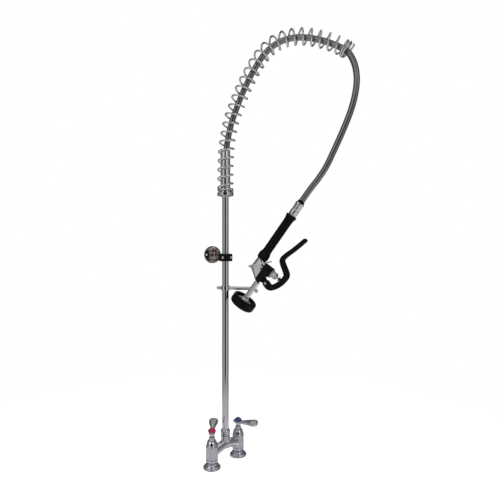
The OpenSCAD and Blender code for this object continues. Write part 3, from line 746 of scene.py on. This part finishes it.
def spring_cup():
    """The cup on the riser's top that the spring stands in."""
    cup = [(8.6, 699), (9.4, 699), (10, 699.8), (10, 703), (20.6, 703), (21.5, 703.8), (21.5, 711.2),
           (20.8, 712), (12.2, 712), (12.1, RISER_TOP), (8.6, RISER_TOP)]
    shown(lathe("spring_cup", cup, closed=True, radius=0.4), "root", CHROME, "chrome", "spring_seat")


def guide_sleeve():
    """The sleeve that turns on the riser's top and guides the hose up into the spring."""
    sleeve = [(6.5, 712.1), (15.2, 712.1), (15.2, 716.4), (14.4, 717.1), (12.85, 717.2), (12.85, 822.2),
              (12.2, SLEEVE_TOP), (10.95, SLEEVE_TOP), (10.9, 718), (6.5, 718)]
    shown(lathe("hose_guide_sleeve", sleeve, closed=True, radius=0.5), "arm", CHROME, "chrome", "top_sleeve")


parking_hook()
hook_thumb_screw()
spring_cup()
guide_sleeve()


# ---------------------------------------------------------------- hose end

def hose_end_seal():
    low = FERRULE_Z + FERRULE_H
    seal = [(5.2, low), (8.6, low), (9.4, low + 1.4), (9.4, low + 3.8), (8.4, low + 5.4), (5.2, low + 5.5)]
    shown(lathe("hose_end_seal", seal, GRIP, closed=True, radius=0.8),
          "hose_end", RUBBER, "black_rubber", "hose_seal")


def swivel_ferrule():
    top = FERRULE_Z + FERRULE_H
    ferrule = [(6.1, 125.2), (10, 125.2), (10.6, 125.9), (10.6, 127.6), (11.2, 128.2), (11.2, 139.4),
               (10.6, 140.2), (10.2, 140.8), (10.2, 142.6), (10.6, 143.2), (10.6, 155), (11.6, 156),
               (11.6, 161.2), (10.9, 162.2), (9.2, top), (4.7, top), (4.7, 144), (6.1, 144)]
    shown(lathe("swivel_ferrule", ferrule, GRIP, closed=True, radius=0.5),
          "hose_end", CHROME, "chrome", "hose_ferrule")


hose_end_seal()
swivel_ferrule()


# ---------------------------------------------------------------- grip and spray head

def rubber_grip():
    top = GRIP_LENGTH
    grip = [(8.1, -12), (12.4, -12), (13.6, -10.6), (14.5, -8.4), (14.8, -5), (14.8, 1.6), (14.0, 5.6),
            (12.4, 9.6), (11.6, 13), (11.5, 20), (11.5, 104), (11.7, 110), (12.5, 115), (13.3, 118.2),
            (14.4, top - 2.4), (14.4, top + 1.3), (13.4, top + 2.3), (8.1, top + 2.5)]
    shown(lathe("rubber_grip", grip, GRIP, closed=True, radius=1.0, swell=knurl(32, 0.22, 16, 100)),
          "sprayer", RUBBER, "black_rubber", "grip_sleeve")


def valve_casting():
    casting = cast("valve_casting", [frame["nodes"]["spray_body"]], 0.4, 12)
    shown(casting, "sprayer", CHROME, "chrome", "spray_body")


def yoke_casting():
    yoke = cast("yoke_casting", [frame["nodes"]["trigger_yoke"]], 0.4, 8)
    shown(yoke, "sprayer", PLASTIC, "black_plastic", "trigger_yoke")


def spray_tube():
    barrel = [(5, -118), (7.6, -118), (8.2, -117.4), (8.2, -114.6), (7.4, -113.8), (7, -113.2), (7, -69),
              (6.4, -66.1), (5, -66.1)]
    shown(lathe("spray_tube", barrel, BARREL, closed=True), "sprayer", CHROME, "chrome", "spray_barrel")


def spray_bell():
    bell = [(5, -118.1), (8.6, -118.1), (9.3, -119.2), (9.8, -121), (11.4, -122.8), (14.4, -124),
            (20.6, -125.5), (24.6, -127.3), (26.6, -129.6), (27, -132), (27, -140.9), (24.1, -140.9),
            (24.1, -130.1), (5, -130.1)]
    shown(lathe("spray_bell", bell, BARREL, 128, closed=True, radius=0.9),
          "sprayer", CHROME, "chrome", "head_shell")


def rubber_bumper():
    """The ring round the spray head, with a groove and a lip over the bell's shoulder."""
    r = BUMPER_R
    bumper = [(27.1, -145), (29.4, -145), (31.2, -143.6), (32.6, -142), (r, -139), (r, -134.4),
              (r - 0.7, -133.8), (r - 0.7, -132.6), (r, -132), (r, -127), (32.9, -122.9), (31, -120.8),
              (28.4, -120.4), (25.4, -121), (24.2, -122.6), (24.2, -127.2), (26.5, -128.8), (27.1, -130.8)]
    shown(lathe("rubber_bumper", bumper, BARREL, 128, closed=True, radius=1.1),
          "sprayer", RUBBER, "black_rubber", "bumper_ring")


rubber_grip()
valve_casting()
yoke_casting()
spray_tube()
spray_bell()
rubber_bumper()


# ---------------------------------------------------------------- plunger and trigger

def valve_seat_nut():
    seat = [(5, 43.1), (11.9, 43.1), (12.6, 43.8), (12.6, 45.3), (11.9, 46), (5, 46)]
    shown(lathe("valve_seat_nut", seat, PLUNGER, 96, closed=True, radius=0.2, swell=hexagon(9), sharp=25),
          "sprayer", STEEL, "stainless", "valve_seat")


def knurled_bonnet():
    bonnet = [(3.05, 54), (5, 54), (5, 46.1), (8.6, 46.1), (8.9, 47), (8.9, 48), (9.1, 48.4), (9.1, 50),
              (9.1, 53), (9.1, 56), (9.1, 57.8), (8.5, 58.4), (7.6, 59.6), (6.8, BONNET_X), (3.05, BONNET_X)]
    shown(lathe("knurled_bonnet", bonnet, PLUNGER, 180, closed=True, radius=0.25,
                swell=knurl(24, 0.7, 48.3, 58.0), sharp=60), "sprayer", CHROME, "chrome", "valve_bonnet")


def push_plunger():
    rod = capped((2.6, 22), (3, 22.5), (3, 30), (4.5, 30), (4.5, 33), (3, 33), (3, 66.3), (5.6, 66.3),
                 (6.4, 66.9), (6.4, 67.6), (5.4, 68.2), (3, PLUNGER_TIP))
    shown(lathe("push_plunger", rod, PLUNGER, 72, radius=0.3), "plunger_rod", STEEL, "stainless", "plunger")


def return_spring():
    """The coil behind the plunger, built at one length; the real coil shortens as the plunger is pushed in.
    """
    turns = [k / 24 for k in range(RETURN_TURNS * 24 + 1)]
    outs = [Vector((0, math.cos(TAU * t), math.sin(TAU * t))) for t in turns]
    wire = [Vector((RETURN_SPRING_X + RETURN_PITCH * t, 0, PLUNGER_Z)) + RETURN_R * out
            for t, out in zip(turns, outs)]
    spring = tube("return_spring", wire, outs, RETURN_WIRE_R, 12, GRIP)
    shown(spring, None, WIRE_CHROME, "spring_steel", "plunger_spring")
    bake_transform(spring)


def trigger_pin():
    at = GRIP @ shift(PIVOT[0], 0, PIVOT[1]) @ turn(90, "X")
    pin = capped((2.2, -10.1), (3.1, -10), (3.4, -9.7), (3.4, -8.8), (2.5, -8.7), (2.5, 8.7), (3.4, 8.8),
                 (3.4, 9.7), (3.1, 10), (2.2, 10.1))
    shown(lathe("trigger_pin", pin, at, 64, radius=0.25), "sprayer", STEEL, "stainless", "pivot_pin")


def squeeze_trigger():
    trigger = cast("squeeze_trigger", [frame["nodes"]["trigger_lever"]], 0.5, 14)
    shown(trigger, "trigger", PLASTIC, "black_plastic", "trigger_lever")


def hold_open_ring():
    """The wire ring that holds the trigger, a long loop from its pivot with a round end."""
    reach, half_wide, wire_r = 58, 17.5, 1.4
    bow = [(reach - half_wide + half_wide * math.cos(a), half_wide * math.sin(a))
           for a in [math.radians(90 - 15 * k) for k in range(13)]]
    loop = [(0, 0.05), (0, 6.5), (10, half_wide)] + bow + [(10, -half_wide), (0, -6.5), (0, -0.05)]
    at = GRIP @ shift(RING_PIVOT[0], 0, RING_PIVOT[1]) @ turn(RING_TILT, "Y")
    path = [Vector((x, y, 0)) for x, y in soften(loop, 3.2, steps=6)]
    ring = tube("hold_open_ring", path, [Vector((0, 0, 1))] * len(path), wire_r, 16, at, round_ends=False)
    shown(ring, "ring", WIRE_CHROME, "spring_steel", "hold_ring")


valve_seat_nut()
knurled_bonnet()
push_plunger()
return_spring()
trigger_pin()
squeeze_trigger()
hold_open_ring()


# ---------------------------------------------------------------- parts that keep their CAD shape

# The stems take the darkened steel: painted shade in the gap under each lever's hub
KEPT = {
    "gasket": RUBBER, "seal": RUBBER, "shank": BRASS, "washer": STEEL, "lock_nut": BRASS, "cartridge": BRASS,
    "stem": PAINTED_SHADE_STEEL, "screw": STEEL, "inlet": BRASS, "grip_tube": STEEL, "spray_face": STEEL,
}
for name, part in frame["nodes"].items():
    if part.hide_render:
        continue
    finish = next((KEPT[key] for key in KEPT if name.endswith(key)), CHROME)
    part.data.materials.clear()
    part.data.materials.append(finish)
    part.data.shade_smooth()
    part.data.set_sharp_from_angle(angle=math.radians(30))


# ---------------------------------------------------------------- room

def floor_piece():
    """A pale round floor that the camera sees; light and reflections pass through it to the room below."""
    rim = [TAU * k / FLOOR_SIDES for k in range(FLOOR_SIDES)]
    points = [(0, 0, 0)] + [(FLOOR_R * math.cos(a), FLOOR_R * math.sin(a), 0) for a in rim]
    floor = new_piece("floor", points, skin([[0], list(range(1, FLOOR_SIDES + 1))]))
    material, tree, shader = new_material("pale_floor")
    pale = blended(tree, noise(tree, 3.0), (0.86, 0.86, 0.86), (0.88, 0.88, 0.88))
    tree.links.new(pale, shader.inputs["Base Color"])
    shader.inputs["Roughness"].default_value = 0.9
    shader.inputs["Emission Color"].default_value = (1, 1, 1, 1)
    shader.inputs["Emission Strength"].default_value = 0.72
    clear = node(tree, "ShaderNodeBsdfTransparent")
    seen = node(tree, "ShaderNodeLightPath")
    either = node(tree, "ShaderNodeMixShader")
    tree.links.new(seen.outputs["Is Camera Ray"], either.inputs["Fac"])
    tree.links.new(clear.outputs["BSDF"], either.inputs[1])
    tree.links.new(shader.outputs["BSDF"], either.inputs[2])
    tree.links.new(either.outputs["Shader"], tree.nodes["Material Output"].inputs["Surface"])
    floor.data.materials.append(material)


COOLNESS = 1.01
# The Mix node's colour sockets by number, because its other sockets share their names
COLOUR_A, COLOUR_B, MIXED_COLOUR = 6, 7, 2


def ramp_of(tree, source, stops, start, end):
    """A colour ramp from start to end of the source's values, with slightly cool stops of (value, grey)."""
    ramp = node(tree, "ShaderNodeValToRGB")
    colours = ramp.color_ramp.elements
    while len(colours) < len(stops):
        colours.new(0.5)
    for k, (value, _) in enumerate(stops):
        colours[k].position = (value - start) / (end - start)
    for k, (_, grey) in enumerate(stops):
        colours[k].color = (grey, grey, grey * COOLNESS, 1)
    tree.links.new(spread(tree, source, 0, 1, start, end), ramp.inputs["Fac"])
    return ramp.outputs["Color"]


def studio():
    """A pale room with bright, grey and dark bands round it, as softboxes and cards give polished metal."""
    world = bpy.data.worlds.new("studio")
    bpy.context.scene.world = world
    world.use_nodes = True
    tree = world.node_tree
    tree.nodes.clear()
    place = node(tree, "ShaderNodeTexCoord")
    parts = node(tree, "ShaderNodeSeparateXYZ")
    tree.links.new(place.outputs["Generated"], parts.inputs["Vector"])
    round_room = node(tree, "ShaderNodeMath", operation="ARCTAN2")
    tree.links.new(parts.outputs["Y"], round_room.inputs[0])
    tree.links.new(parts.outputs["X"], round_room.inputs[1])
    degrees = node(tree, "ShaderNodeMath", operation="DEGREES")
    tree.links.new(round_room.outputs["Value"], degrees.inputs[0])
    walls = ramp_of(tree, degrees.outputs["Value"], [
        (-180, 0.6), (-170, 0.6), (-166, 0.012), (-117, 0.012), (-112, 0.66), (-90, 0.66), (-84, 0.36),
        (-50, 0.3), (-30, 0.2), (-5, 0.04), (85, 0.04), (105, 0.15), (125, 0.3), (160, 0.3), (167, 0.6),
        (180, 0.6)], -180, 180)
    boxes = ramp_of(tree, degrees.outputs["Value"], [
        (-180, 1.4), (-160, 1.4), (-156, 0.03), (-128, 0.03), (-124, 1.5), (-98, 1.5), (-90, 0.2), (20, 0.15),
        (40, 0.4), (60, 0.15), (150, 0.2), (165, 1.4), (180, 1.4)], -180, 180)
    height = parts.outputs["Z"]
    ends = ramp_of(tree, height, [
        (-1.0, 0.8), (-0.45, 0.62), (-0.38, 0.5), (-0.2, 0.2), (0.58, 0.15), (0.72, 0.1), (0.8, 0.7),
        (0.9, 0.75), (0.94, 0.2), (1.0, 0.6)], -1, 1)
    lower = ramp_of(tree, height, [(-1.0, 1.0), (-0.36, 1.0), (-0.32, 0.0), (1.0, 0.0)], -1, 1)
    middle = ramp_of(tree, height, [(-1.0, 0.0), (0.25, 0.0), (0.29, 1.0), (1.0, 1.0)], -1, 1)
    upper = ramp_of(tree, height, [(-1.0, 0.0), (0.56, 0.0), (0.62, 1.0), (1.0, 1.0)], -1, 1)
    colour = walls
    for share, other in ((middle, boxes), (upper, ends), (lower, ends)):
        mixed = node(tree, "ShaderNodeMix", data_type="RGBA")
        tree.links.new(share, mixed.inputs["Factor"])
        tree.links.new(colour, mixed.inputs[COLOUR_A])
        tree.links.new(other, mixed.inputs[COLOUR_B])
        colour = mixed.outputs[MIXED_COLOUR]
    seen = node(tree, "ShaderNodeLightPath")
    lit = node(tree, "ShaderNodeBackground", Strength=1.0)
    plain = node(tree, "ShaderNodeBackground", Strength=1.0, Color=(1, 1, 1, 1))
    tree.links.new(colour, lit.inputs["Color"])
    either = node(tree, "ShaderNodeMixShader")
    tree.links.new(seen.outputs["Is Camera Ray"], either.inputs["Fac"])
    tree.links.new(lit.outputs["Background"], either.inputs[1])
    tree.links.new(plain.outputs["Background"], either.inputs[2])
    out = node(tree, "ShaderNodeOutputWorld")
    tree.links.new(either.outputs["Shader"], out.inputs["Surface"])


def softbox(name, place, aim, size, power):
    """A soft lamp in metres and watts, which polished metal doesn't mirror."""
    light = bpy.data.lights.new(name, "AREA")
    light.shape = "RECTANGLE"
    light.size, light.size_y = size
    light.energy = power
    lamp = bpy.data.objects.new(name, light)
    bpy.context.scene.collection.objects.link(lamp)
    lamp.visible_glossy = False
    lamp.location = place
    lamp.rotation_euler = (Vector(aim) - Vector(place)).to_track_quat("-Z", "Y").to_euler()


floor_piece()
studio()
OBJECT_MIDDLE = (0, -0.1, 0.6)
softbox("key", (-1.9, -0.2, 2.2), OBJECT_MIDDLE, (0.9, 1.2), 10)
softbox("fill", (0.6, -2.1, 1.5), OBJECT_MIDDLE, (0.7, 1.4), 6)
bpy.context.scene.view_settings.view_transform = "Standard"
